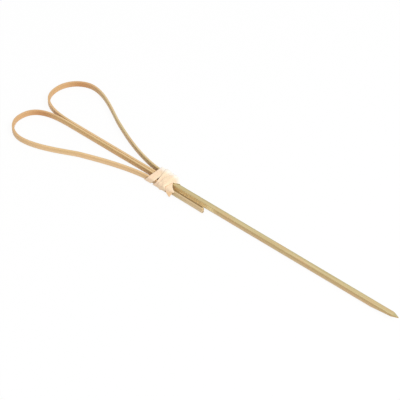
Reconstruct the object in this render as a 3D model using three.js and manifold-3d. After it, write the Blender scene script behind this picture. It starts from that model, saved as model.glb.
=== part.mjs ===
import * as THREE from 'three';
import { mergeVertices } from 'three/addons/utils/BufferGeometryUtils.js';
import Module from 'manifold-3d';

const wasm = await Module();
wasm.setup();

// A bamboo cocktail pick with a heart at its head. One end of the stick is split into two flat
// strips. Each is bent round into a loop, and a narrow strip of peel ties both back to the stick.
// Millimetres, +Z up. The pick lies flat, +X runs along the shaft to the point, and the origin is
// under the middle of the binding, where the pick rests.

// The stick's section
const STICK_HEIGHT = 1.53;
const STRIP_THICKNESS = 0.59;
const SPLIT_GAP = 0.08;
const EDGE_EASE = 0.07;

// Distances along the stick, from the middle of the binding
const POINT_REACH = 75.0;
const SPLIT_ROOT = 1.5;
const LEFT_STRIP_END = 3.2;
const RIGHT_STRIP_END = 15.5;
const LOOP_MOUTH = 4.0;

// The point: the sides draw in over its last millimetres, the underside is pared up to it along a
// long slope, and a short facet comes down on it from above
const POINT_LENGTH = 1.9;
const POINT_BLUNT = 0.14;
const PARING_LENGTH = 8.7;
const PARING_RISE = 1.02;
const FACET_LENGTH = 1.9;
const FACET_DROP = 0.3;

// The binding: one strip of peel
const PEEL_THICKNESS = 0.16;
const PEEL_WIDTH = 2.15;
const PEEL_LAYER_GAP = 0.03;
const BINDING_CLEARANCE = 0.05;
const PEEL_BEND_RADIUS = 0.22;
const PEEL_END_FLARE = 0.75;
const NARROWING = 2.2;

const SHAFT_WIDTH = 2 * STRIP_THICKNESS + SPLIT_GAP;
const STICK_BASE = PEEL_THICKNESS + BINDING_CLEARANCE;

// The two loops, seen from above. `out` is the distance back from the binding along the stick,
// `across` the distance from the stick's axis to the middle of the strip, and each pull is how far
// the curve keeps its direction there: the larger it is, the fuller the bend.
const LEFT_LOOP = {
  side: 1,
  leave: { out: 31.4, pull: 7.45 },
  crown: { out: 44.05, across: 7.55, pullIn: 5.7, pullOut: 3.95 },
  widest: { out: 37.26, across: 14.55, pullIn: 3.46, pullOut: 4.95 },
  waist: { out: 21.8, across: 7.98, slope: 0.459, pullIn: 4.72, pullOut: 2.94 },
  mouth: { across: 1.9, slope: 0.137, pull: 7.4 },
  tied: { across: 1.66, end: LEFT_STRIP_END, endAcross: 1.66 },
};
const RIGHT_LOOP = {
  side: -1,
  leave: { out: 31.68, pull: 6.93 },
  crown: { out: 43.34, across: 7.09, pullIn: 5.63, pullOut: 2.49 },
  widest: { out: 36.97, across: 12.67, pullIn: 3.82, pullOut: 5.65 },
  waist: { out: 21.54, across: 7.04, slope: 0.359, pullIn: 2.46, pullOut: 2.47 },
  mouth: { across: 2.18, slope: 0.101, pull: 6.8 },
  tied: { across: 2.0, end: RIGHT_STRIP_END, endAcross: 2.22 },
};

const INNER_ACROSS = (SPLIT_GAP + STRIP_THICKNESS) / 2;
const TIE_PULL = 1.3;

// The middle line of one strip, from the root of the split to its cut end under or past the
// binding, in (x, y).
function stripLine(loop) {
  const at = (out, across) => new THREE.Vector2(-out, loop.side * across);
  const along = (slope, length) => {
    const direction = new THREE.Vector2(-1, loop.side * slope).normalize();
    return direction.multiplyScalar(length);
  };
  const { leave, crown, widest, waist, mouth, tied } = loop;
  const root = at(-SPLIT_ROOT, INNER_ACROSS);
  const left = at(leave.out, INNER_ACROSS);
  const far = at(crown.out, crown.across);
  const wide = at(widest.out, widest.across);
  const narrow = at(waist.out, waist.across);
  const gate = at(LOOP_MOUTH, mouth.across);
  const bound = at(0, tied.across);
  const end = at(-tied.end, tied.endAcross);
  const outward = new THREE.Vector2(0, loop.side);
  const back = new THREE.Vector2(-1, 0);
  const from = (p, direction, length) => p.clone().addScaledVector(direction, length);

  const path = new THREE.CurvePath();
  path.add(new THREE.LineCurve(root, left));
  path.add(new THREE.CubicBezierCurve(
    left, from(left, back, leave.pull), from(far, outward, -crown.pullIn), far));
  path.add(new THREE.CubicBezierCurve(
    far, from(far, outward, crown.pullOut), from(wide, back, widest.pullIn), wide));
  path.add(new THREE.CubicBezierCurve(
    wide, from(wide, back, -widest.pullOut),
    narrow.clone().add(along(waist.slope, waist.pullIn)), narrow));
  path.add(new THREE.CubicBezierCurve(
    narrow, narrow.clone().sub(along(waist.slope, waist.pullOut)),
    gate.clone().add(along(mouth.slope, mouth.pull)), gate));
  path.add(new THREE.CubicBezierCurve(
    gate, gate.clone().sub(along(mouth.slope, TIE_PULL)), from(bound, back, TIE_PULL), bound));
  path.add(new THREE.LineCurve(bound, end));
  return path;
}

const STEPS_PER_CURVE = [1, 12, 12, 14, 12, 3, 1];

// Both faces of a strip, as points half its thickness to each side of the middle line.
function stripFaces(loop) {
  const inner = [];
  const outer = [];
  stripLine(loop).curves.forEach((curve, index) => {
    const steps = STEPS_PER_CURVE[index];
    for (let i = index === 0 ? 0 : 1; i <= steps; i += 1) {
      const p = curve.getPoint(i / steps);
      const t = curve.getTangent(i / steps);
      const away = new THREE.Vector2(t.y, -t.x).multiplyScalar(loop.side * STRIP_THICKNESS / 2);
      inner.push(p.clone().add(away));
      outer.push(p.clone().sub(away));
    }
  });
  return { inner, outer };
}

// The whole stick in plan: the shaft to its point, and a strip round each loop.
function stickOutline() {
  const half = SHAFT_WIDTH / 2;
  const left = stripFaces(LEFT_LOOP);
  const right = stripFaces(RIGHT_LOOP);
  const points = [
    new THREE.Vector2(POINT_REACH, POINT_BLUNT / 2),
    new THREE.Vector2(POINT_REACH - POINT_LENGTH, half),
    ...left.inner,
    ...left.outer.reverse(),
    ...right.outer,
    ...right.inner.reverse(),
    new THREE.Vector2(POINT_REACH - POINT_LENGTH, -half),
    new THREE.Vector2(POINT_REACH, -POINT_BLUNT / 2),
  ];
  return new THREE.Shape(points);
}

function toManifold(geometry) {
  const bare = geometry.clone();
  bare.deleteAttribute('normal');
  bare.deleteAttribute('uv');
  const merged = mergeVertices(bare, 1e-5);
  return new wasm.Manifold(new wasm.Mesh({
    numProp: 3,
    vertProperties: new Float32Array(merged.attributes.position.array),
    triVerts: new Uint32Array(merged.index.array),
  }));
}

function toGeometry(solid) {
  const mesh = solid.getMesh();
  const geometry = new THREE.BufferGeometry();
  geometry.setAttribute('position', new THREE.BufferAttribute(mesh.vertProperties, 3));
  geometry.setIndex(new THREE.BufferAttribute(mesh.triVerts, 1));
  geometry.computeVertexNormals();
  return geometry;
}

// A cutter that runs right across the stick, from its outline in (x, z).
function crossCutter(points) {
  const reach = 4 * SHAFT_WIDTH;
  const shape = new THREE.Shape(points.map(([x, z]) => new THREE.Vector2(x, z)));
  const geometry = new THREE.ExtrudeGeometry(shape, { depth: 2 * reach, bevelEnabled: false });
  geometry.rotateX(Math.PI / 2);
  geometry.translate(0, reach, 0);
  return toManifold(geometry);
}

function makeStick() {
  const plan = new THREE.ExtrudeGeometry(stickOutline(), {
    depth: STICK_HEIGHT - 2 * EDGE_EASE,
    bevelThickness: EDGE_EASE,
    bevelSize: EDGE_EASE,
    bevelOffset: -EDGE_EASE,
    bevelSegments: 1,
    curveSegments: 1,
  });
  plan.translate(0, 0, STICK_BASE + EDGE_EASE);
  const beyond = POINT_REACH + POINT_LENGTH;
  const top = STICK_BASE + STICK_HEIGHT;
  const below = STICK_BASE - STICK_HEIGHT;
  const above = top + STICK_HEIGHT;
  const paringSlope = PARING_RISE / PARING_LENGTH;
  const facetSlope = FACET_DROP / FACET_LENGTH;
  const paring = crossCutter([
    [POINT_REACH - PARING_LENGTH, STICK_BASE],
    [POINT_REACH - PARING_LENGTH, below],
    [beyond, below],
    [beyond, STICK_BASE + paringSlope * (beyond - POINT_REACH + PARING_LENGTH)],
  ]);
  const facet = crossCutter([
    [POINT_REACH - FACET_LENGTH, top],
    [beyond, top - facetSlope * (beyond - POINT_REACH + FACET_LENGTH)],
    [beyond, above],
    [POINT_REACH - FACET_LENGTH, above],
  ]);
  return toGeometry(toManifold(plan).subtract(paring).subtract(facet));
}

// Where the middle of the peel crosses the long edges of the strands, as x, wrap by wrap. The loose
// wrap begins with the cut end on the right and runs aslant under the three wraps that hold it.
const LOOSE_WRAP = { cutEnd: 4.85, topRight: 4.75, topLeft: -0.3, bottomLeft: -2.3, bottomRight: -2.75 };
const LOOP_WRAP = { topRight: -1.3, topLeft: -1.2, bottomLeft: -0.2, bottomRight: 0.15 };
const MIDDLE_WRAP = { topRight: 1.6, topLeft: 0.4, bottomLeft: 1.9, bottomRight: 2.4 };
const LAST_WRAP = { topRight: 2.3, topMiddle: 2.6, topLeft: 4.1, bottomLeft: 4.65, tucked: 4.7 };

// The peel's way round the strands. `turn` counts the faces that it has passed: 0 to 1 goes up the
// right face, 1 to 2 over the top to the left, 2 to 3 down the left face and 3 to 4 back under the
// strands, and so on for each wrap.
const PEEL_START = 0.12;
const PEEL_FINISH = 15.6;
const PEEL_WAY = [
  { turn: PEEL_START, x: LOOSE_WRAP.cutEnd },
  { turn: 1, x: LOOSE_WRAP.topRight },
  { turn: 2, x: LOOSE_WRAP.topLeft },
  { turn: 3, x: LOOSE_WRAP.bottomLeft },
  { turn: 4, x: LOOSE_WRAP.bottomRight },
  { turn: 5, x: LOOP_WRAP.topRight },
  { turn: 6, x: LOOP_WRAP.topLeft },
  { turn: 7, x: LOOP_WRAP.bottomLeft },
  { turn: 8, x: LOOP_WRAP.bottomRight },
  { turn: 9, x: MIDDLE_WRAP.topRight },
  { turn: 10, x: MIDDLE_WRAP.topLeft },
  { turn: 11, x: MIDDLE_WRAP.bottomLeft },
  { turn: 12, x: MIDDLE_WRAP.bottomRight },
  { turn: 13, x: LAST_WRAP.topRight },
  { turn: 13.5, x: LAST_WRAP.topMiddle },
  { turn: 14, x: LAST_WRAP.topLeft },
  { turn: 15, x: LAST_WRAP.bottomLeft },
  { turn: PEEL_FINISH, x: LAST_WRAP.tucked },
];

// The block of strands that the peel is wound on. Past the end of the left strip it narrows to the
// shaft itself.
const BLOCK_RIGHT = RIGHT_LOOP.mouth.across + STRIP_THICKNESS / 2 + BINDING_CLEARANCE;
const BLOCK_LEFT = LEFT_LOOP.mouth.across + STRIP_THICKNESS / 2 + BINDING_CLEARANCE;
const BLOCK_BOTTOM = PEEL_THICKNESS;
const BLOCK_TOP = STICK_BASE + STICK_HEIGHT + BINDING_CLEARANCE;

function blockLeft(x) {
  const shaftSide = SHAFT_WIDTH / 2 + BINDING_CLEARANCE;
  const along = THREE.MathUtils.smoothstep(x, LEFT_STRIP_END + BINDING_CLEARANCE,
    LEFT_STRIP_END + BINDING_CLEARANCE + NARROWING);
  return THREE.MathUtils.lerp(BLOCK_LEFT, shaftSide, along);
}

// The point (y, z) on the block at `turn`, raised off it by `lift`, with the corners rounded.
function onBlock(turn, lift, x) {
  const corners = [
    new THREE.Vector2(-BLOCK_RIGHT, BLOCK_BOTTOM), new THREE.Vector2(-BLOCK_RIGHT, BLOCK_TOP),
    new THREE.Vector2(blockLeft(x), BLOCK_TOP), new THREE.Vector2(blockLeft(x), BLOCK_BOTTOM),
  ];
  const face = Math.floor(turn);
  const start = corners[face % 4];
  const end = corners[(face + 1) % 4];
  const length = start.distanceTo(end);
  const direction = end.clone().sub(start).divideScalar(length);
  const outward = new THREE.Vector2(-direction.y, direction.x);
  const gone = (turn - face) * length;
  const r = PEEL_BEND_RADIUS;
  const nearest = gone < length / 2 ? gone : length - gone;
  if (nearest >= r) {
    return start.addScaledVector(direction, gone).addScaledVector(outward, lift);
  }
  const sign = gone < length / 2 ? -1 : 1;
  const angle = (1 - nearest / r) * Math.PI / 4;
  const centre = (sign < 0 ? start : end).clone()
    .addScaledVector(direction, -sign * r).addScaledVector(outward, -r);
  return centre.addScaledVector(outward, (r + lift) * Math.cos(angle))
    .addScaledVector(direction, sign * (r + lift) * Math.sin(angle));
}

function faceLength(turn) {
  return Math.floor(turn) % 2 === 0 ? BLOCK_TOP - BLOCK_BOTTOM : BLOCK_LEFT + BLOCK_RIGHT;
}

// Half the peel's reach along x at one point of its way: a slanting strip reaches further.
function halfReach(from, to) {
  const run = (to.turn - from.turn) * faceLength(from.turn);
  return PEEL_WIDTH / 2 * Math.hypot(1, (to.x - from.x) / run);
}

// The reach at each of those places, by the peel's slant on the top or the underside beside it.
const REACHES = PEEL_WAY.map((place, i) => {
  const wideFaceFollows = Math.floor(place.turn) % 2 === 1 && i < PEEL_WAY.length - 1;
  const first = wideFaceFollows || i === 0 ? i : i - 1;
  return halfReach(PEEL_WAY[first], PEEL_WAY[first + 1]);
});

// The peel's middle and half reach at `turn`.
function peelAt(turn) {
  let i = 0;
  while (i < PEEL_WAY.length - 2 && PEEL_WAY[i + 1].turn < turn) i += 1;
  const share = (turn - PEEL_WAY[i].turn) / (PEEL_WAY[i + 1].turn - PEEL_WAY[i].turn);
  return {
    x: THREE.MathUtils.lerp(PEEL_WAY[i].x, PEEL_WAY[i + 1].x, share),
    half: THREE.MathUtils.lerp(REACHES[i], REACHES[i + 1], share),
  };
}

// How far the turns laid down earlier lift the peel at `turn` and x. The lift fades out beyond
// their edges.
const RAMP_START = 0.3;
const RAMP_END = 0.95;

function liftAt(turn, x) {
  let lift = 0;
  for (let below = turn - 4; below >= PEEL_START; below -= 4) {
    const { x: middle, half } = peelAt(below);
    const beyond = Math.abs(x - middle) - half;
    const cover = 1 - THREE.MathUtils.smoothstep(beyond, RAMP_START, RAMP_END);
    lift += cover * (PEEL_THICKNESS + PEEL_LAYER_GAP);
  }
  return lift;
}

// The rows of the peel's mesh: close together round each corner, further apart on the flats.
const STEPS_ON_SIDE = 2;
const STEPS_ON_FLAT = 8;
const CLOSEST_ROWS = 0.04;

function peelRows() {
  const rows = [PEEL_START];
  for (let face = 0; face < PEEL_FINISH; face += 1) {
    const bend = PEEL_BEND_RADIUS / faceLength(face);
    const steps = face % 2 === 0 ? STEPS_ON_SIDE : STEPS_ON_FLAT;
    const places = [0, bend / 2];
    for (let i = 0; i <= steps; i += 1) {
      places.push(bend + (1 - 2 * bend) * i / steps);
    }
    places.push(1 - bend / 2);
    for (const place of places) {
      const turn = face + place;
      if (turn > PEEL_START + CLOSEST_ROWS && turn < PEEL_FINISH - CLOSEST_ROWS) rows.push(turn);
    }
  }
  rows.push(PEEL_FINISH);
  return rows;
}

// The loose end is cut aslant, and it stands off the strands more and more towards the cut.
const PEEL_COLUMNS = 7;
const CUT_SKEW = 0.8;
const FLARE_POWER = 1.4;

// One corner of the peel's mesh: `row` is its place along the peel, `share` its place across, and
// `raise` is 0 on the side that faces the strands and the thickness on the other.
function peelPoint(row, share, raise) {
  const loose = 1 - THREE.MathUtils.smoothstep(row, PEEL_START, 1);
  const turn = row + CUT_SKEW * loose * share;
  const { x: middle, half } = peelAt(row);
  const x = middle + half * (2 * share - 1);
  const flare = PEEL_END_FLARE * Math.max(0, 1 - turn) ** FLARE_POWER;
  const p = onBlock(turn, liftAt(turn, x) + flare + raise, x);
  return [x, p.x, p.y];
}

function makeBinding() {
  const rows = peelRows();
  const positions = [];
  const width = PEEL_COLUMNS + 1;
  for (const raise of [0, PEEL_THICKNESS]) {
    for (const row of rows) {
      for (let j = 0; j <= PEEL_COLUMNS; j += 1) {
        positions.push(...peelPoint(row, j / PEEL_COLUMNS, raise));
      }
    }
  }
  const layer = rows.length * width;
  const index = [];
  const quad = (a, b, c, d) => index.push(a, c, b, a, d, c);
  for (let i = 0; i < rows.length - 1; i += 1) {
    for (let j = 0; j < PEEL_COLUMNS; j += 1) {
      const a = i * width + j;
      const b = a + 1;
      const c = b + width;
      const d = a + width;
      quad(a, b, c, d);
      quad(layer + a, layer + d, layer + c, layer + b);
    }
    const first = i * width;
    const last = first + PEEL_COLUMNS;
    quad(first, first + width, layer + first + width, layer + first);
    quad(last, layer + last, layer + last + width, last + width);
  }
  const finish = (rows.length - 1) * width;
  for (let j = 0; j < PEEL_COLUMNS; j += 1) {
    quad(j, layer + j, layer + j + 1, j + 1);
    quad(finish + j, finish + j + 1, layer + finish + j + 1, layer + finish + j);
  }
  const geometry = new THREE.BufferGeometry();
  geometry.setAttribute('position', new THREE.Float32BufferAttribute(positions, 3));
  geometry.setIndex(index);
  geometry.computeVertexNormals();
  return geometry;
}

const bamboo = new THREE.MeshStandardMaterial({ color: 0xcfbd8a, roughness: 0.55, metalness: 0 });
const peel = new THREE.MeshStandardMaterial({ color: 0xf3ddc0, roughness: 0.6, metalness: 0 });

const stick = new THREE.Mesh(makeStick(), bamboo);
stick.name = 'bamboo_stick';

const binding = new THREE.Mesh(makeBinding(), peel);
binding.name = 'binding_strip';

const pick = new THREE.Group();
pick.add(stick, binding);

export default pick;
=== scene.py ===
import math

import bpy
import numpy as np
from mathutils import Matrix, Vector, noise


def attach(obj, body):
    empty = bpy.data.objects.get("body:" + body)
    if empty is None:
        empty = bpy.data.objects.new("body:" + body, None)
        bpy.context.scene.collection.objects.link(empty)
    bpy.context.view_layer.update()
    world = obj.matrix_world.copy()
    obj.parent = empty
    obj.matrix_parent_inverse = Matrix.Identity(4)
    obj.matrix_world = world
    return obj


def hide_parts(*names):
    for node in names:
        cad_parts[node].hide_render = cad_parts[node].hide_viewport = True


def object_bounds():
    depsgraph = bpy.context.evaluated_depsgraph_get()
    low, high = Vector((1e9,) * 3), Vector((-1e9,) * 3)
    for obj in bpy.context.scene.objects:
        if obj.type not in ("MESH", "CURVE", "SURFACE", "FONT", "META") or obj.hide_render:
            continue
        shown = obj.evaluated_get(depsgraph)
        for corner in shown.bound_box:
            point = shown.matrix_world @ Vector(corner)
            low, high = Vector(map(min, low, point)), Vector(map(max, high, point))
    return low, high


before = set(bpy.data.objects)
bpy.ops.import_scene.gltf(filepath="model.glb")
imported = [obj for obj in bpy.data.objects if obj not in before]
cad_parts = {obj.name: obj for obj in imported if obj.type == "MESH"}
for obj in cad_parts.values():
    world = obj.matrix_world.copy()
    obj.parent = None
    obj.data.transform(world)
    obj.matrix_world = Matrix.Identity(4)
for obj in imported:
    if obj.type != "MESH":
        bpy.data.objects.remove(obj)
cad_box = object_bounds()

# A bamboo cocktail pick: a pointed shaft whose split head is bent round into two loops, tied back
# with a strip of peel. Sizes are in millimetres in the part's frame and become metres where a mesh
# is made.
MM = 0.001

# The stick's section
STICK_HEIGHT = 1.53
STRIP_THICKNESS = 0.59
SPLIT_GAP = 0.08
SHAFT_WIDTH = 2 * STRIP_THICKNESS + SPLIT_GAP
EDGE_RADIUS = 0.10

# Distances along the stick, from the middle of the binding
POINT_REACH = 75.0
SPLIT_ROOT = 1.5
LEFT_STRIP_END = 3.2
RIGHT_STRIP_END = 15.5
LOOP_MOUTH = 4.0

# The point
POINT_LENGTH = 1.9
POINT_BLUNT = 0.14
PARING_LENGTH = 8.7
PARING_RISE = 1.02
FACET_LENGTH = 1.9
FACET_DROP = 0.3

# The binding
PEEL_THICKNESS = 0.16
PEEL_WIDTH = 2.15
PEEL_LAYER_GAP = 0.03
BINDING_CLEARANCE = 0.05
PEEL_BEND_RADIUS = 0.22
PEEL_END_FLARE = 1.0
PEEL_END_SLANT = 1.7
NARROWING = 2.2
STICK_BASE = PEEL_THICKNESS + BINDING_CLEARANCE

LEFT_LOOP = {
    "side": 1,
    "leave": (31.4, 7.45),
    "crown": (44.05, 7.55, 5.7, 3.95),
    "widest": (37.26, 14.55, 3.46, 4.95),
    "waist": (21.8, 7.98, 0.459, 4.72, 2.94),
    "mouth": (1.9, 0.137, 7.4),
    "tied": (1.66, LEFT_STRIP_END, 1.66),
    "scorch": 56.5,
}
RIGHT_LOOP = {
    "side": -1,
    "leave": (31.68, 6.93),
    "crown": (43.34, 7.09, 5.63, 2.49),
    "widest": (36.97, 12.67, 3.82, 5.65),
    "waist": (21.54, 7.04, 0.359, 2.46, 2.47),
    "mouth": (2.18, 0.101, 6.8),
    "tied": (2.0, RIGHT_STRIP_END, 2.22),
    "scorch": 41.5,
}
INNER_ACROSS = (SPLIT_GAP + STRIP_THICKNESS) / 2
TIE_PULL = 1.3

# How finely the lines and the section are drawn
STRAIGHT_STEPS = 40
CURVE_STEPS = 60
TIE_STEPS = 20
FLAT_STEPS = 5
SIDE_STEPS = 9
CORNER_STEPS = 3


# Small helpers

def smoothstep(value, low, high):
    t = np.clip((np.asarray(value, float) - low) / (high - low), 0, 1)
    return t * t * (3 - 2 * t)


def bezier(p0, p1, p2, p3, steps):
    t = np.linspace(0, 1, steps + 1)[:, None]
    return (1 - t) ** 3 * p0 + 3 * (1 - t) ** 2 * t * p1 + 3 * (1 - t) * t * t * p2 + t ** 3 * p3


def value_noise(x, y, z, seed):
    """Smooth noise between about -1 and 1 at each point."""
    shift = 17.3 * seed
    points = zip(np.ravel(x), np.ravel(y), np.ravel(z))
    flat = [noise.noise(Vector((a + shift, b - shift, c + 0.5 * shift))) for a, b, c in points]
    return np.array(flat).reshape(np.shape(x))


def resample(points, step):
    """The same line with stations at equal distances, and the distance of each."""
    gaps = np.linalg.norm(np.diff(points, axis=0), axis=1)
    along = np.concatenate([[0], np.cumsum(gaps)])
    count = int(math.ceil(along[-1] / step)) + 1
    s = np.linspace(0, along[-1], count)
    line = np.stack([np.interp(s, along, points[:, k]) for k in range(points.shape[1])], 1)
    return line, s


def strip_line(loop):
    """The middle line of one strip in plan, from the root of the split to its cut end."""
    side = loop["side"]

    def at(out, across):
        return np.array([-out, side * across], float)

    def along(slope, length):
        direction = np.array([-1, side * slope])
        return direction / np.linalg.norm(direction) * length

    leave_out, leave_pull = loop["leave"]
    crown_out, crown_across, crown_in, crown_away = loop["crown"]
    wide_out, wide_across, wide_in, wide_away = loop["widest"]
    waist_out, waist_across, waist_slope, waist_in, waist_away = loop["waist"]
    mouth_across, mouth_slope, mouth_pull = loop["mouth"]
    tied_across, end_out, end_across = loop["tied"]
    outward = np.array([0, side], float)
    back = np.array([-1.0, 0])
    root = at(-SPLIT_ROOT, INNER_ACROSS)
    left = at(leave_out, INNER_ACROSS)
    far = at(crown_out, crown_across)
    wide = at(wide_out, wide_across)
    narrow = at(waist_out, waist_across)
    gate = at(LOOP_MOUTH, mouth_across)
    bound = at(0, tied_across)
    pieces = [
        np.linspace(root, left, STRAIGHT_STEPS),
        bezier(left, left + back * leave_pull, far - outward * crown_in, far, CURVE_STEPS)[1:],
        bezier(far, far + outward * crown_away, wide + back * wide_in, wide, CURVE_STEPS)[1:],
        bezier(wide, wide - back * wide_away, narrow + along(waist_slope, waist_in), narrow,
               CURVE_STEPS)[1:],
        bezier(narrow, narrow - along(waist_slope, waist_away), gate + along(mouth_slope, mouth_pull),
               gate, CURVE_STEPS)[1:],
        bezier(gate, gate - along(mouth_slope, TIE_PULL), bound + back * TIE_PULL, bound,
               TIE_STEPS)[1:],
        np.linspace(bound, at(-end_out, end_across), STRAIGHT_STEPS)[1:],
    ]
    return np.vstack(pieces)


def section_ring(width, height, radius):
    """A rounded rectangle as (across, up) points, with the distance round it and the outward
    direction at each. It starts at the middle of the underside."""
    a, b, r = width / 2, height / 2, radius
    points = []
    normals = []

    def straight(p, q, normal, count):
        for i in range(count):
            t = i / count
            points.append((p[0] + (q[0] - p[0]) * t, p[1] + (q[1] - p[1]) * t))
            normals.append(normal)

    def corner(centre, start):
        for i in range(CORNER_STEPS):
            angle = math.radians(start + 90 * i / CORNER_STEPS)
            normal = (math.cos(angle), math.sin(angle))
            points.append((centre[0] + r * normal[0], centre[1] + r * normal[1]))
            normals.append(normal)

    straight((-a + r, -b), (a - r, -b), (0, -1), FLAT_STEPS)
    corner((a - r, -b + r), -90)
    straight((a, -b + r), (a, b - r), (1, 0), SIDE_STEPS)
    corner((a - r, b - r), 0)
    straight((a - r, b), (-a + r, b), (0, 1), FLAT_STEPS)
    corner((-a + r, b - r), 90)
    straight((-a, b - r), (-a, -b + r), (-1, 0), SIDE_STEPS)
    corner((-a + r, -b + r), 180)
    points = np.array(points)
    normals = np.array(normals)
    gaps = np.linalg.norm(np.roll(points, -1, axis=0) - points, axis=1)
    around = np.concatenate([[0], np.cumsum(gaps)[:-1]])
    return points, normals, around


class MeshParts:
    """Collects closed shells and their surface coordinates for one object. `grain` is the distance
    along, the distance round and the strand. `face` is the height from 0 to 1, how freshly split the
    side is and how near the skin. `toast` is the bend, the scorch, and painted light and shade beside
    the tail: above 0 the shaft's side is painted lighter with a painted dark crevice at its foot,
    below 0 the tail's edge is painted dark as shade."""

    def __init__(self):
        self.points = []
        self.faces = []
        self.grain = []
        self.face = []
        self.toast = []
        self.count = 0

    def add_tube(self, rings, grain, face, toast):
        """rings is (stations, ring points, 3). The ends are closed with fans."""
        stations, size, _ = rings.shape
        start = self.count
        self.points.append(rings.reshape(-1, 3))
        self.grain.append(grain.reshape(-1, 3))
        self.face.append(face.reshape(-1, 3))
        self.toast.append(toast.reshape(-1, 3))
        self.count += stations * size
        for i in range(stations - 1):
            for j in range(size):
                k = (j + 1) % size
                a = start + i * size
                b = a + size
                self.faces.append((a + j, a + k, b + k, b + j))
        for i, flip in ((0, True), (stations - 1, False)):
            ring = list(range(start + i * size, start + (i + 1) * size))
            centre = self.count
            self.points.append(rings[i].mean(axis=0)[None])
            self.grain.append(grain[i].mean(axis=0)[None])
            self.face.append(face[i].mean(axis=0)[None])
            self.toast.append(toast[i].mean(axis=0)[None])
            self.count += 1
            for j in range(size):
                k = (j + 1) % size
                self.faces.append((ring[k], ring[j], centre) if flip else (ring[j], ring[k], centre))

    def object(self, name):
        points = np.vstack(self.points) * MM
        mesh = bpy.data.meshes.new(name)
        mesh.from_pydata(points.tolist(), [], self.faces)
        mesh.polygons.foreach_set("use_smooth", [True] * len(mesh.polygons))
        for key, values in (("grain", self.grain), ("face", self.face), ("toast", self.toast)):
            attribute = mesh.attributes.new(key, "FLOAT_VECTOR", "POINT")
            attribute.data.foreach_set("vector", np.vstack(values).ravel())
        mesh.validate()
        mesh.update()
        piece = bpy.data.objects.new(name, mesh)
        bpy.context.scene.collection.objects.link(piece)
        return piece


# The stick

# The strands by number, as the materials know them
LEFT_STRAND = 1
RIGHT_STRAND = 2
SHAFT_STRAND = 3

# Distances between the stations, and the end of the shaft where they are finer
STATION_STEP = 0.3
FINE_STEP = 0.1
FINE_LENGTH = 10.0

# How far the shaft runs past the root of the split, inside the strips
ROOT_OVERLAP = 1.0

# Ridges, each as its height and how often it changes along the stick and round it
FINE_FIBRES = (0.012, 0.08, 7.0)
BROAD_FIBRES = (0.0132, 0.12, 1.6)

# Taken off the section, so that the ridges keep to its size
RELIEF_ROOM = 0.03

# Where the skin shows: from the middle to the edge of the top, and up the side
SKIN_ACROSS = (0.1, 0.42)
SKIN_UP = (0.75, 0.98)

# The bend, in radians per millimetre, that is toasted in full, and the stations that ease it
SHARPEST_BEND = 0.16
BEND_EASE = 25
SCORCH_REACH = 3.2

# The cut ends
END_BITE = 0.06
END_GRAIN = 5

# The tail past the binding: it leans on the shaft, and its edge there is painted dark as shade
TAIL_FROM = 2.5
TAIL_CLEAR_FROM = 4.5
TAIL_SPREAD = 0.12
TAIL_RISE = 0.03
TAIL_EDGE_FROM = -0.5
TAIL_EDGE_TO = 0.05

# The shaft's near side beside the tail is painted lighter against the tail's shadow, with a painted
# dark crevice at its foot: where this begins, is full, and how far it fades past the tail
FLANK_LIGHT_FROM = 3.0
FLANK_LIGHT_FULL = 6.0
FLANK_LIGHT_FADE = 4.0

# The skin's colour covers the shaft this far from the tip of the point
POINT_SKIN = 1.0


def fibre_relief(s, around, seed):
    """Long ridges where the fibres stand, in millimetres."""
    relief = np.zeros_like(s)
    for i, (height, per_length, per_girth) in enumerate((FINE_FIBRES, BROAD_FIBRES)):
        relief += height * value_noise(s * per_length, around * per_girth, np.zeros_like(s), seed + i)
    return relief


def sweep(line, s, width, height, seed, pale_side):
    """Carries the section along a plan line. Returns the rings with their grain and face
    coordinates. `pale_side` is 1 or -1 where the freshly split face is, and 0 where there is none."""
    section, normals, around = section_ring(width - RELIEF_ROOM, height - RELIEF_ROOM, EDGE_RADIUS)
    tangent = np.gradient(line, axis=0)
    tangent /= np.linalg.norm(tangent, axis=1)[:, None]
    lateral = np.stack([-tangent[:, 1], tangent[:, 0]], 1)
    along = np.repeat(s[:, None], len(section), axis=1)
    round_it = np.repeat(around[None], len(s), axis=0)
    relief = fibre_relief(along, round_it, seed)
    across = section[None, :, 0] + normals[None, :, 0] * relief
    up = section[None, :, 1] + normals[None, :, 1] * relief
    rings = np.empty((len(s), len(section), 3))
    rings[..., 0] = line[:, None, 0] + lateral[:, None, 0] * across
    rings[..., 1] = line[:, None, 1] + lateral[:, None, 1] * across
    rings[..., 2] = STICK_BASE + STICK_HEIGHT / 2 + up
    grain = np.stack([along, round_it, np.full_like(along, seed)], -1)
    level = 0.5 + section[:, 1] / height
    split = normals[:, 0] * pale_side
    skin_side = -pale_side if pale_side else 1
    skin = smoothstep(section[:, 0] * skin_side / width, *SKIN_ACROSS) * smoothstep(level, *SKIN_UP)
    face = np.broadcast_to(np.stack([level, split, skin], -1)[None], rings.shape).copy()
    return rings, grain, face


def bend_amount(line, s):
    """How sharply the strip is bent at each station, from 0 to about 1, eased along it."""
    tangent = np.gradient(line, axis=0)
    angle = np.unwrap(np.arctan2(tangent[:, 1], tangent[:, 0]))
    bend = np.abs(np.gradient(angle, s))
    kernel = np.hanning(BEND_EASE)
    bend = np.convolve(bend, kernel / kernel.sum(), mode="same")
    return np.clip(bend / SHARPEST_BEND, 0, 1)


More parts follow.
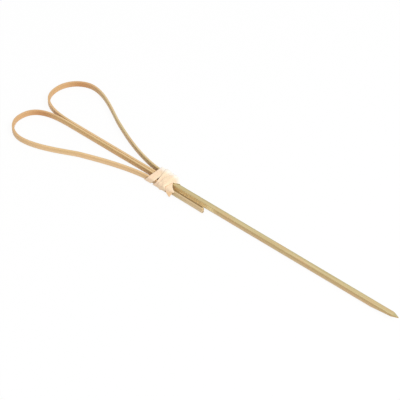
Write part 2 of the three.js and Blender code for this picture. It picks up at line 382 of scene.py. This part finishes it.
def add_strip(parts, loop, seed):
    line, s = resample(strip_line(loop), STATION_STEP)
    rings, grain, face = sweep(line, s, STRIP_THICKNESS, STICK_HEIGHT, seed, loop["side"])
    scorch = np.exp(-((s - loop["scorch"]) / SCORCH_REACH) ** 2)
    toast = np.zeros(rings.shape)
    toast[..., 0] = bend_amount(line, s)[:, None]
    toast[..., 1] = scorch[:, None]
    if loop is RIGHT_LOOP:
        # only the tail, which is past the middle of the strip and past the binding
        returned = ((s > s[-1] / 2) * smoothstep(line[:, 0], TAIL_FROM, TAIL_CLEAR_FROM))[:, None]
        across = (rings[..., 1] - line[:, None, 1]) / STRIP_THICKNESS
        inner = smoothstep(across, TAIL_EDGE_FROM, TAIL_EDGE_TO)
        # painted shade on the tail's edge next to the shaft, kept below 0
        toast[:-1, :, 2] = (-returned * inner)[:-1]
        rings[..., 1] += TAIL_SPREAD * returned * inner
        rings[..., 2] += TAIL_RISE * returned * (rings[..., 2] - STICK_BASE)
    # the cut end is a little uneven
    _, end_y, end_z = rings[-1].T
    bite = END_BITE * value_noise(end_y * END_GRAIN, end_z * END_GRAIN, np.zeros_like(end_y), seed)
    rings[-1, :, 0] -= np.abs(bite)
    parts.add_tube(rings, grain, face, toast)


def add_shaft(parts, seed):
    root = (SPLIT_ROOT - ROOT_OVERLAP, 0.0)
    finer = (POINT_REACH - FINE_LENGTH, 0.0)
    straight, s = resample(np.array([root, finer]), STATION_STEP)
    fine, t = resample(np.array([finer, (POINT_REACH, 0.0)]), FINE_STEP)
    line = np.vstack([straight, fine[1:]])
    s = np.concatenate([s, s[-1] + t[1:]])
    rings, grain, face = sweep(line, s, SHAFT_WIDTH, STICK_HEIGHT, seed, 0)
    x, y, z = rings[..., 0], rings[..., 1], rings[..., 2]
    # the point: sides drawn in, underside pared up, short facet above
    drawn = np.clip((POINT_REACH - x) / POINT_LENGTH, 0, 1)
    half = POINT_BLUNT / 2 + (SHAFT_WIDTH / 2 - POINT_BLUNT / 2) * drawn
    rings[..., 1] = np.clip(y, -half, half)
    paring = STICK_BASE + PARING_RISE * (x - POINT_REACH + PARING_LENGTH) / PARING_LENGTH
    facet = STICK_BASE + STICK_HEIGHT - FACET_DROP * (x - POINT_REACH + FACET_LENGTH) / FACET_LENGTH
    rings[..., 2] = np.minimum(np.maximum(z, paring), facet)
    pointed = smoothstep(x, POINT_REACH - FACET_LENGTH, POINT_REACH - POINT_SKIN)
    face[..., 2] = np.maximum(face[..., 2], pointed)
    toast = np.zeros(rings.shape)
    # painted light and shade up the shaft's near side beside the tail
    past_tail = smoothstep(x, RIGHT_STRIP_END, RIGHT_STRIP_END + FLANK_LIGHT_FADE)
    toast[..., 2] = smoothstep(x, FLANK_LIGHT_FROM, FLANK_LIGHT_FULL) * (1 - past_tail) * (y < 0)
    parts.add_tube(rings, grain, face, toast)


def make_stick():
    parts = MeshParts()
    add_strip(parts, LEFT_LOOP, LEFT_STRAND)
    add_strip(parts, RIGHT_LOOP, RIGHT_STRAND)
    add_shaft(parts, SHAFT_STRAND)
    stick = parts.object("split_bamboo_stick")
    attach(stick, "root")
    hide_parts("bamboo_stick")
    return stick


# The binding, wound as in the part: `turn` counts the faces of the bundle that the peel has passed

FACES_PER_TURN = 4
PEEL_START = 0.12
PEEL_FINISH = 15.6
LOOSE_WRAP = ((PEEL_START, 4.85), (1, 4.75), (2, -0.3), (3, -2.3), (4, -2.75))
LOOP_WRAP = ((5, -1.3), (6, -1.2), (7, -0.2), (8, 0.15))
MIDDLE_WRAP = ((9, 1.6), (10, 0.4), (11, 1.9), (12, 2.4))
LAST_WRAP = ((13, 2.3), (13.5, 2.6), (14, 4.1), (15, 4.65), (PEEL_FINISH, 4.7))
PEEL_WAY = np.array(LOOSE_WRAP + LOOP_WRAP + MIDDLE_WRAP + LAST_WRAP)
# over the far edge the peel lies flattened and wider: the corner, the shift of its middle, its gain
FAR_SPREAD = ((10, 0.33, 0.33), (14, -0.25, 0.25))
BLOCK_RIGHT = RIGHT_LOOP["mouth"][0] + STRIP_THICKNESS / 2 + BINDING_CLEARANCE
BLOCK_LEFT = LEFT_LOOP["mouth"][0] + STRIP_THICKNESS / 2 + BINDING_CLEARANCE
BLOCK_BOTTOM = PEEL_THICKNESS
BLOCK_TOP = STICK_BASE + STICK_HEIGHT + BINDING_CLEARANCE
RAMP_START = 0.3
RAMP_END = 0.95
CUT_SKEW = 0.8


def block_left(x):
    shaft_side = SHAFT_WIDTH / 2 + BINDING_CLEARANCE
    low = LEFT_STRIP_END + BINDING_CLEARANCE
    along = float(smoothstep(x, low, low + NARROWING))
    return BLOCK_LEFT + (shaft_side - BLOCK_LEFT) * along


def on_block(turn, lift, x):
    """The point (y, z) on the bundle at `turn`, raised off it by `lift`."""
    left = block_left(x)
    corners = [(-BLOCK_RIGHT, BLOCK_BOTTOM), (-BLOCK_RIGHT, BLOCK_TOP), (left, BLOCK_TOP),
               (left, BLOCK_BOTTOM)]
    face = int(math.floor(turn))
    start = Vector(corners[face % FACES_PER_TURN])
    end = Vector(corners[(face + 1) % FACES_PER_TURN])
    length = (end - start).length
    direction = (end - start) / length
    outward = Vector((-direction.y, direction.x))
    gone = (turn - face) * length
    r = PEEL_BEND_RADIUS
    nearest = gone if gone < length / 2 else length - gone
    if nearest >= r:
        return start + direction * gone + outward * lift
    sign = -1 if gone < length / 2 else 1
    angle = (1 - nearest / r) * math.pi / 4
    centre = (start if sign < 0 else end) - direction * (sign * r) - outward * r
    return (centre + outward * ((r + lift) * math.cos(angle))
            + direction * (sign * (r + lift) * math.sin(angle)))


def face_length(turn):
    tall = int(math.floor(turn)) % 2 == 0
    return BLOCK_TOP - BLOCK_BOTTOM if tall else BLOCK_LEFT + BLOCK_RIGHT


def half_reach(first, second):
    run = (second[0] - first[0]) * face_length(first[0])
    return PEEL_WIDTH / 2 * math.hypot(1, (second[1] - first[1]) / run)


def peel_reaches():
    last = len(PEEL_WAY) - 1
    reaches = []
    for i, key in enumerate(PEEL_WAY):
        wide_next = int(math.floor(key[0])) % 2 == 1
        if i == 0 or (wide_next and i < last):
            reaches.append(half_reach(key, PEEL_WAY[i + 1]))
        else:
            reaches.append(half_reach(PEEL_WAY[i - 1], key))
    return np.array(reaches)


REACHES = peel_reaches()
for corner, shift, gain in FAR_SPREAD:
    at_corner = PEEL_WAY[:, 0] == corner
    PEEL_WAY[at_corner, 1] += shift
    REACHES[at_corner] += gain


def peel_at(turn):
    return (float(np.interp(turn, PEEL_WAY[:, 0], PEEL_WAY[:, 1])),
            float(np.interp(turn, PEEL_WAY[:, 0], REACHES)))


def lift_at(turn, x):
    lift = 0
    below = turn - FACES_PER_TURN
    while below >= PEEL_START:
        middle, half = peel_at(below)
        cover = 1 - float(smoothstep(abs(x - middle) - half, RAMP_START, RAMP_END))
        lift += cover * (PEEL_THICKNESS + PEEL_LAYER_GAP)
        below -= FACES_PER_TURN
    return lift


ROWS_ON_SIDE = 8
ROWS_ON_FLAT = 22
ROWS_ON_BEND = 4
FIRST_ROW_ROOM = 0.02
LAST_ROW_ROOM = 0.01


def peel_rows():
    rows = [PEEL_START]
    for face in range(int(math.ceil(PEEL_FINISH))):
        length = face_length(face)
        bend = PEEL_BEND_RADIUS / length
        flats = ROWS_ON_SIDE if face % 2 == 0 else ROWS_ON_FLAT
        places = [bend * i / ROWS_ON_BEND for i in range(ROWS_ON_BEND)]
        places += [bend + (1 - 2 * bend) * i / flats for i in range(flats + 1)]
        places += [1 - bend + bend * i / ROWS_ON_BEND for i in range(1, ROWS_ON_BEND)]
        rows += [face + p for p in places
                 if PEEL_START + FIRST_ROW_ROOM < face + p < PEEL_FINISH - LAST_ROW_ROOM]
    rows.append(PEEL_FINISH)
    return rows


PEEL_COLUMNS = 18
PEEL_CROWN = 0.03
CROWN_POWER = 6
FLARE_POWER = 1.4
SLANT_POWER = 3

# The two sides of the peel by number, as its material knows them
PEEL_INSIDE = 4
PEEL_OUTSIDE = 5

# A painted highlight makes the peel paler about the bundle's far top corner, which is 2 faces into
# each turn: where this begins, is full, fades and ends
FAR_HIGHLIGHT = (1.66, 1.96, 2.08, 2.35)


def peel_point(row, share, raised):
    loose = 1 - float(smoothstep(row, PEEL_START, 1))
    turn = row + CUT_SKEW * loose * share
    middle, half = peel_at(row)
    hanging = max(0, 1 - row) / (1 - PEEL_START)
    x = middle + half * (2 * share - 1) + PEEL_END_SLANT * (1 - share) * hanging ** SLANT_POWER
    flare = PEEL_END_FLARE * max(0, 1 - turn) ** FLARE_POWER
    edge = abs(2 * share - 1)
    thin = PEEL_CROWN * edge ** CROWN_POWER
    lift = lift_at(turn, x) + flare + (PEEL_THICKNESS - thin if raised else 0)
    p = on_block(turn, lift, x)
    return x, p.x, p.y


def far_edge(row):
    """How near a place on the peel is to the bundle's far top edge, from 0 to 1."""
    wrap = row % FACES_PER_TURN
    begins, full, fades, ends = FAR_HIGHLIGHT
    return float(smoothstep(wrap, begins, full) * (1 - smoothstep(wrap, fades, ends)))


def make_binding():
    rows = peel_rows()
    width = PEEL_COLUMNS + 1
    gaps = [(b - a) * face_length(a) for a, b in zip(rows[:-1], rows[1:])]
    distance = np.concatenate([[0], np.cumsum(gaps)])
    points = []
    grain = []
    far = []
    for raised in (False, True):
        for row, s in zip(rows, distance):
            for j in range(width):
                share = j / PEEL_COLUMNS
                points.append(peel_point(row, share, raised))
                grain.append((s, share * PEEL_WIDTH, PEEL_OUTSIDE if raised else PEEL_INSIDE))
                far.append(far_edge(row))
    points = np.array(points)
    layer = len(rows) * width
    faces = []
    for i in range(len(rows) - 1):
        for j in range(PEEL_COLUMNS):
            a = i * width + j
            b, c, d = a + 1, a + 1 + width, a + width
            faces.append((d, c, b, a))
            faces.append((layer + a, layer + b, layer + c, layer + d))
        first = i * width
        last = first + PEEL_COLUMNS
        faces.append((layer + first, layer + first + width, first + width, first))
        faces.append((last + width, layer + last + width, layer + last, last))
    finish = (len(rows) - 1) * width
    for j in range(PEEL_COLUMNS):
        faces.append((j + 1, layer + j + 1, layer + j, j))
        faces.append((finish + j, layer + finish + j, layer + finish + j + 1, finish + j + 1))
    mesh = bpy.data.meshes.new("wound_peel")
    mesh.from_pydata((points * MM).tolist(), [], faces)
    mesh.polygons.foreach_set("use_smooth", [True] * len(mesh.polygons))
    attribute = mesh.attributes.new("grain", "FLOAT_VECTOR", "POINT")
    attribute.data.foreach_set("vector", np.array(grain, float).ravel())
    # the mask of the painted highlight over the far top corner
    attribute = mesh.attributes.new("far", "FLOAT", "POINT")
    attribute.data.foreach_set("value", np.array(far))
    mesh.validate()
    mesh.update()
    binding = bpy.data.objects.new("wound_peel", mesh)
    bpy.context.scene.collection.objects.link(binding)
    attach(binding, "root")
    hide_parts("binding_strip")
    return binding


# Materials

class Nodes:
    """A short way to write a node tree."""

    def __init__(self, name):
        self.material = bpy.data.materials.new(name)
        self.material.use_nodes = True
        self.tree = self.material.node_tree
        self.shader = self.tree.nodes["Principled BSDF"]
        self.output = self.tree.nodes["Material Output"]

    def node(self, kind, **settings):
        made = self.tree.nodes.new(kind)
        for key, value in settings.items():
            setattr(made, key, value)
        return made

    def link(self, source, target):
        self.tree.links.new(source, target)

    def attribute(self, name, output):
        return self.node("ShaderNodeAttribute", attribute_name=name).outputs[output]

    def noise(self, vector, detail, roughness, stretch):
        mapping = self.node("ShaderNodeMapping")
        mapping.inputs["Scale"].default_value = stretch
        self.link(vector, mapping.inputs["Vector"])
        made = self.node("ShaderNodeTexNoise")
        made.inputs["Scale"].default_value = 1.0
        made.inputs["Detail"].default_value = detail
        made.inputs["Roughness"].default_value = roughness
        self.link(mapping.outputs["Vector"], made.inputs["Vector"])
        return made.outputs["Fac"]

    def separate(self, vector):
        made = self.node("ShaderNodeSeparateXYZ")
        self.link(vector, made.inputs[0])
        return made.outputs[0], made.outputs[1], made.outputs[2]

    def span(self, value, low, high, new_low=0.0, new_high=1.0):
        made = self.node("ShaderNodeMapRange")
        made.interpolation_type = "SMOOTHSTEP"
        ends = {"From Min": low, "From Max": high, "To Min": new_low, "To Max": new_high}
        for name, number in ends.items():
            made.inputs[name].default_value = number
        self.link(value, made.inputs["Value"])
        return made.outputs["Result"]

    def math(self, operation, first, second):
        made = self.node("ShaderNodeMath", operation=operation)
        for socket, value in zip(made.inputs, (first, second)):
            if isinstance(value, (int, float)):
                socket.default_value = value
            else:
                self.link(value, socket)
        return made.outputs["Value"]

    def mix(self, amount, first, second):
        made = self.node("ShaderNodeMix", data_type="RGBA")
        for index, value in ((0, amount), (6, first), (7, second)):
            if isinstance(value, (tuple, int, float)):
                made.inputs[index].default_value = value
            else:
                self.link(value, made.inputs[index])
        return made.outputs[2]

    def tint(self, base, mask, amount, colour):
        """The base, mixed with the colour by that amount where the mask is 1."""
        return self.mix(self.math("MULTIPLY", mask, amount), base, colour)

    def speckle(self, base, pattern, low, high, amount, colour):
        """The same where the pattern rises from low to high."""
        return self.tint(base, self.span(pattern, low, high), amount, colour)

    def bump(self, height, distance, strength):
        made = self.node("ShaderNodeBump")
        made.inputs["Strength"].default_value = strength
        made.inputs["Distance"].default_value = distance
        self.link(height, made.inputs["Height"])
        return made.outputs["Normal"]


def srgb(red, green, blue):
    """A colour as it is seen on the screen, 0 to 255, for a node socket."""
    def linear(value):
        c = value / 255
        return c / 12.92 if c <= 0.04045 else ((c + 0.055) / 1.055) ** 2.4
    return (linear(red), linear(green), linear(blue), 1.0)


# Noise: its detail, its roughness and its stretch along, across and from strand to strand
STREAKS = (4.0, 0.6, (0.05, 5.5, 3.0))
FIBRES = (3.0, 0.6, (0.12, 22.0, 3.0))
PATCHES = (2.0, 0.5, (0.09, 0.7, 5.0))
WARM_PARTS = (2.0, 0.5, (0.16, 0.5, 9.0))
PEEL_STREAKS = (3.0, 0.6, (0.18, 9.0, 3.0))
PEEL_CLOUD = (2.0, 0.5, (0.25, 0.8, 3.0))

# Plain colours
TOP_DARK = srgb(194, 173, 124)
TOP_LIGHT = srgb(214, 197, 150)
# the sides: painted lighter towards the bottom as light thrown up from the floor, and darker high up
# as painted shade
OUTER_HIGH = srgb(195, 165, 106)
OUTER_LOW_FLOOR_LIT = srgb(221, 192, 150)
FRESH_HIGH = srgb(222, 192, 146)
FRESH_LOW_FLOOR_LIT = srgb(233, 209, 171)
TOASTED = srgb(217, 172, 122)
SCORCHED = srgb(196, 140, 88)
# painted shade in the crevice at the foot of the shaft's side beside the tail, and painted light up
# that side against the tail's shadow
FLANK_CREVICE_SHADE = srgb(150, 118, 64)
FLANK_PAINTED_LIGHT = srgb(244, 222, 164)
# the tail's edge next to the shaft: painted shade along its top, and its side below painted extra
# pale to throw more light onto the shaft's side
TAIL_SIDE_BOUNCE_PALE = srgb(252, 214, 152)
TAIL_EDGE_SHADE = srgb(134, 101, 50)
PEEL_PINK = srgb(250, 219, 187)
PEEL_CREAM = srgb(248, 226, 192)
# painted shade: the peel's underside is painted a darker orange
PEEL_UNDERSIDE_SHADE = srgb(236, 190, 132)

# Tints: the amount and the colour
STRIP_TOP = (0.8, srgb(228, 203, 160))
SKIN = (0.85, srgb(178, 169, 124))
HEATED = (0.33, srgb(244, 190, 128))
# painted highlights along the peel's edges
PEEL_RIM_HIGHLIGHT = (0.6, srgb(255, 238, 214))
# painted shade on the loose end, which hangs down the bundle's near side
PEEL_LOOSE_END_SHADE = (0.7, srgb(240, 196, 142))
# a painted highlight where the peel passes over the far top corner
PEEL_FAR_HIGHLIGHT = (0.8, srgb(255, 250, 241))
# how strongly the painted light and shade beside the tail, and the painted shade on the tail's edge,
# are laid on
FLANK_PAINT_AMOUNT = 0.95
TAIL_SHADE_AMOUNT = 0.95

# Speckles: where the pattern begins and is full, the amount and the colour
SIDE_STREAK = (0.4, 0.7, 0.3, srgb(190, 160, 108))
GREENISH_PATCH = (0.45, 0.7, 0.35, srgb(190, 176, 116))
WARM_PATCH = (0.48, 0.72, 0.4, srgb(216, 170, 122))
DARK_FIBRE = (0.52, 0.75, 0.3, srgb(156, 124, 74))
PEEL_LINE = (0.5, 0.75, 0.4, srgb(230, 192, 154))

# Spans: two values of what is looked at, and what comes out at each, which is 0 and 1 if not given
TOP_STREAKS = (0.35, 0.68)
# how the painted floor light on the sides grows towards the bottom
FLOOR_LIGHT_UP_SIDE = (0.15, 0.75, 1.0, 0.0)
FRESH_SIDE = (-0.2, 0.5)
TOP_FACE = (0.9, 0.985)
# where the painted crevice shade gives way to painted light on the shaft's side, and where that stops
# under the top
FLANK_CREVICE_HEIGHT = (0.0, 0.16)
FLANK_UNDER_TOP = (0.86, 0.97, 1.0, 0.0)
# where the tail's pale side gives way to the painted shade along its top
TAIL_SHADE_HEIGHT = (0.8, 0.93)
TOAST_STREAKS = (0.2, 0.8, 0.65, 0.95)
TOAST_BY_SIDE = (-0.2, 0.6, 1.0, 0.45)
SCORCH_STREAKS = (0.25, 0.7, 0.55, 0.95)
SCORCH_BY_HEIGHT = (0.8, 1.0, 1.0, 0.4)
FIBRE_ROUGHNESS = (0.3, 0.8, 0.42, 0.6)
CLOUD_SPAN = (0.35, 0.7)

# The same by the distance along a strip or the peel, in millimetres
HEAT_END = (94.0, 99.0, 1.0, 0.0)
LARGER_LOOP_FADE = (50.0, 62.0, 1.0, 0.1)
# how far along the peel its loose end carries painted shade
LOOSE_END_SHADE_REACH = (0.1, 1.3, 1.0, 0.0)
# the width of the painted highlight along each edge of the peel
RIM_HIGHLIGHT_WIDTH = 0.16

# The same by the number of the strand, and by the side of the peel
PAST_LEFT = (LEFT_STRAND + 0.3, RIGHT_STRAND - 0.3)
ON_STRIPS = (RIGHT_STRAND + 0.3, SHAFT_STRAND - 0.3, 1.0, 0.0)
OUTSIDE = (PEEL_INSIDE + 0.1, PEEL_OUTSIDE - 0.3)

BUMP_DEPTH = 0.00006
BAMBOO_BUMP = 0.6
PEEL_BUMP = 0.5
FIBRE_SHARE = 0.6
BAMBOO_SPECULAR = 0.4
PEEL_SPECULAR = 0.35
PEEL_ROUGHNESS = 0.62


def bamboo_faces(n, face, is_strip, streaks):
    """The colours of the top, the freshly split side and the outer side, the sides with painted floor
    light towards the bottom.
    """
    level, split, skin = face
    top = n.mix(n.span(streaks, *TOP_STREAKS), TOP_DARK, TOP_LIGHT)
    top = n.tint(top, is_strip, *STRIP_TOP)
    top = n.tint(top, skin, *SKIN)
    # painted light: each side is lighter towards the bottom, as if lit from the floor
    low = n.span(level, *FLOOR_LIGHT_UP_SIDE)
    outer = n.mix(low, OUTER_HIGH, OUTER_LOW_FLOOR_LIT)
    fresh = n.mix(low, FRESH_HIGH, FRESH_LOW_FLOOR_LIT)
    side = n.mix(n.span(split, *FRESH_SIDE), outer, fresh)
    side = n.speckle(side, streaks, *SIDE_STREAK)
    return n.mix(n.span(level, *TOP_FACE), side, top)


def bamboo_patches(n, base, grain, fibres):
    """Greenish and warm patches, with dark fibres over them."""
    base = n.speckle(base, n.noise(grain, *PATCHES), *GREENISH_PATCH)
    base = n.speckle(base, n.noise(grain, *WARM_PARTS), *WARM_PATCH)
    return n.speckle(base, fibres, *DARK_FIBRE)


def bamboo_warmth(n, base, grain, is_strip):
    """The warmth left by the heat that bent the strips, least on the larger loop's outer part."""
    along, _, strand = n.separate(grain)
    kept = n.math("MAXIMUM", n.span(strand, *PAST_LEFT), n.span(along, *LARGER_LOOP_FADE))
    heated = n.math("MULTIPLY", is_strip, n.span(along, *HEAT_END))
    return n.tint(base, n.math("MULTIPLY", heated, kept), *HEATED)


def bamboo_bends(n, base, face, bent, scorched, streaks):
    """The toasted bends and the scorch on each loop."""
    level, split, _ = face
    toast = n.math("MULTIPLY", bent, n.span(streaks, *TOAST_STREAKS))
    toast = n.math("MULTIPLY", toast, n.span(split, *TOAST_BY_SIDE))
    base = n.mix(toast, base, TOASTED)
    scorch = n.math("MULTIPLY", scorched, n.span(streaks, *SCORCH_STREAKS))
    scorch = n.math("MULTIPLY", scorch, n.span(level, *SCORCH_BY_HEIGHT))
    return n.mix(scorch, base, SCORCHED)


def bamboo_material():
    n = Nodes("split_bamboo")
    grain = n.attribute("grain", "Vector")
    face = n.separate(n.attribute("face", "Vector"))
    level = face[0]
    bent, scorched, painted_beside_tail = n.separate(n.attribute("toast", "Vector"))
    is_strip = n.span(n.separate(grain)[2], *ON_STRIPS)
    streaks = n.noise(grain, *STREAKS)
    fibres = n.noise(grain, *FIBRES)
    base = bamboo_faces(n, face, is_strip, streaks)
    base = bamboo_patches(n, base, grain, fibres)
    base = bamboo_warmth(n, base, grain, is_strip)
    # painted light up the shaft's near side beside the tail, with a painted dark crevice at its foot,
    # where the third toast channel is above 0
    flank_light_and_shade = n.mix(n.span(level, *FLANK_CREVICE_HEIGHT), FLANK_CREVICE_SHADE, FLANK_PAINTED_LIGHT)
    painted_flank = n.math("MULTIPLY", n.span(painted_beside_tail, 0.0, 1.0), n.span(level, *FLANK_UNDER_TOP))
    base = n.tint(base, painted_flank, FLANK_PAINT_AMOUNT, flank_light_and_shade)
    base = bamboo_bends(n, base, face, bent, scorched, streaks)
    # painted shade on the tail's edge next to the shaft, where the third toast channel is below 0
    tail_shade = n.mix(n.span(level, *TAIL_SHADE_HEIGHT), TAIL_SIDE_BOUNCE_PALE, TAIL_EDGE_SHADE)
    base = n.tint(base, n.span(painted_beside_tail, -1.0, 0.0, 1.0, 0.0), TAIL_SHADE_AMOUNT, tail_shade)
    n.link(base, n.shader.inputs["Base Color"])
    n.link(n.span(fibres, *FIBRE_ROUGHNESS), n.shader.inputs["Roughness"])
    n.shader.inputs["Specular IOR Level"].default_value = BAMBOO_SPECULAR
    ridges = n.math("MULTIPLY", fibres, FIBRE_SHARE)
    height = n.math("ADD", ridges, n.math("MULTIPLY", streaks, 1 - FIBRE_SHARE))
    n.link(n.bump(height, BUMP_DEPTH, BAMBOO_BUMP), n.shader.inputs["Normal"])
    return n.material


def peel_material():
    n = Nodes("pale_peel")
    grain = n.attribute("grain", "Vector")
    along, across, layer = n.separate(grain)
    lines = n.noise(grain, *PEEL_STREAKS)
    base = n.mix(n.span(n.noise(grain, *PEEL_CLOUD), *CLOUD_SPAN), PEEL_PINK, PEEL_CREAM)
    base = n.speckle(base, lines, *PEEL_LINE)
    # painted highlights along both edges of the peel
    one_rim_highlight = n.span(across, 0.0, RIM_HIGHLIGHT_WIDTH, 1.0, 0.0)
    other_rim_highlight = n.span(across, PEEL_WIDTH - RIM_HIGHLIGHT_WIDTH, PEEL_WIDTH)
    base = n.tint(base, n.math("ADD", one_rim_highlight, other_rim_highlight), *PEEL_RIM_HIGHLIGHT)
    # painted shade on the loose end
    base = n.tint(base, n.span(along, *LOOSE_END_SHADE_REACH), *PEEL_LOOSE_END_SHADE)
    # painted highlight over the far top corner
    base = n.tint(base, n.attribute("far", "Fac"), *PEEL_FAR_HIGHLIGHT)
    # the underside and the cut edges take the painted shade colour
    base = n.mix(n.span(layer, *OUTSIDE), PEEL_UNDERSIDE_SHADE, base)
    n.link(base, n.shader.inputs["Base Color"])
    n.shader.inputs["Roughness"].default_value = PEEL_ROUGHNESS
    n.shader.inputs["Specular IOR Level"].default_value = PEEL_SPECULAR
    n.link(n.bump(lines, BUMP_DEPTH, PEEL_BUMP), n.shader.inputs["Normal"])
    return n.material


# Floor, light and camera

FLOOR_SIZE = 3.0
FLOOR_GREY = 0.82
FLOOR_ROUGHNESS = 0.9
FLOOR_GLOW = 0.92
GLOW_STRENGTH = 1.01
WORLD_STRENGTH = 0.68
KEY_PLACE = (0.49, -0.04, 0.566)
KEY_SIZE = 0.4
KEY_POWER = 3.05


def make_floor():
    mesh = bpy.data.meshes.new("floor")
    half = FLOOR_SIZE / 2
    level = cad_box[0][2]
    corners = [(-half, -half, level), (half, -half, level), (half, half, level), (-half, half, level)]
    mesh.from_pydata(corners, [], [(0, 1, 2, 3)])
    floor = bpy.data.objects.new("floor", mesh)
    bpy.context.scene.collection.objects.link(floor)
    n = Nodes("white_floor")
    n.shader.inputs["Base Color"].default_value = (FLOOR_GREY, FLOOR_GREY, FLOOR_GREY, 1)
    n.shader.inputs["Roughness"].default_value = FLOOR_ROUGHNESS
    glow = n.node("ShaderNodeEmission")
    glow.inputs["Color"].default_value = (1, 1, 1, 1)
    glow.inputs["Strength"].default_value = GLOW_STRENGTH
    path = n.node("ShaderNodeLightPath")
    seen = n.math("ADD", path.outputs["Is Camera Ray"], path.outputs["Is Glossy Ray"])
    seen = n.math("ADD", seen, path.outputs["Is Transmission Ray"])
    seen = n.math("MULTIPLY", seen, FLOOR_GLOW)
    blend = n.node("ShaderNodeMixShader")
    n.link(seen, blend.inputs[0])
    n.link(n.shader.outputs[0], blend.inputs[1])
    n.link(glow.outputs[0], blend.inputs[2])
    n.link(blend.outputs[0], n.output.inputs["Surface"])
    floor.data.materials.append(n.material)


def make_world():
    world = bpy.data.worlds.new("studio")
    world.use_nodes = True
    background = world.node_tree.nodes["Background"]
    background.inputs["Color"].default_value = (1, 1, 1, 1)
    background.inputs["Strength"].default_value = WORLD_STRENGTH
    bpy.context.scene.world = world


def make_key_light():
    data = bpy.data.lights.new("key_light", "AREA")
    data.shape = "DISK"
    data.size = KEY_SIZE
    data.energy = KEY_POWER
    light = bpy.data.objects.new("key_light", data)
    bpy.context.scene.collection.objects.link(light)
    light.location = KEY_PLACE
    light.rotation_euler = (-Vector(KEY_PLACE)).to_track_quat("-Z", "Y").to_euler()


# The camera stands where the photograph's does
AZIMUTH = math.radians(41.71)
ELEVATION = math.radians(41.8)
CAMERA_DISTANCE = 0.6368
CAMERA_LENS = 231.7
SENSOR_WIDTH = 36
NEAREST_SEEN = 0.01
LOOK_AT = Vector((0.01181, 0.00090, STICK_BASE * MM))


def make_camera():
    data = bpy.data.cameras.new("camera")
    data.lens = CAMERA_LENS
    data.sensor_width = SENSOR_WIDTH
    data.clip_start = NEAREST_SEEN
    camera = bpy.data.objects.new("camera", data)
    back = Vector((math.sin(AZIMUTH) * math.cos(ELEVATION), -math.cos(AZIMUTH) * math.cos(ELEVATION),
                   math.sin(ELEVATION)))
    camera.location = LOOK_AT + back * CAMERA_DISTANCE
    camera.rotation_euler = (-back).to_track_quat("-Z", "Y").to_euler()
    bpy.context.scene.collection.objects.link(camera)
    bpy.context.scene.camera = camera


bpy.context.scene.view_settings.view_transform = "Standard"
make_camera()
make_world()
make_key_light()
make_floor()
stick = make_stick()
stick.data.materials.append(bamboo_material())
binding = make_binding()
binding.data.materials.append(peel_material())
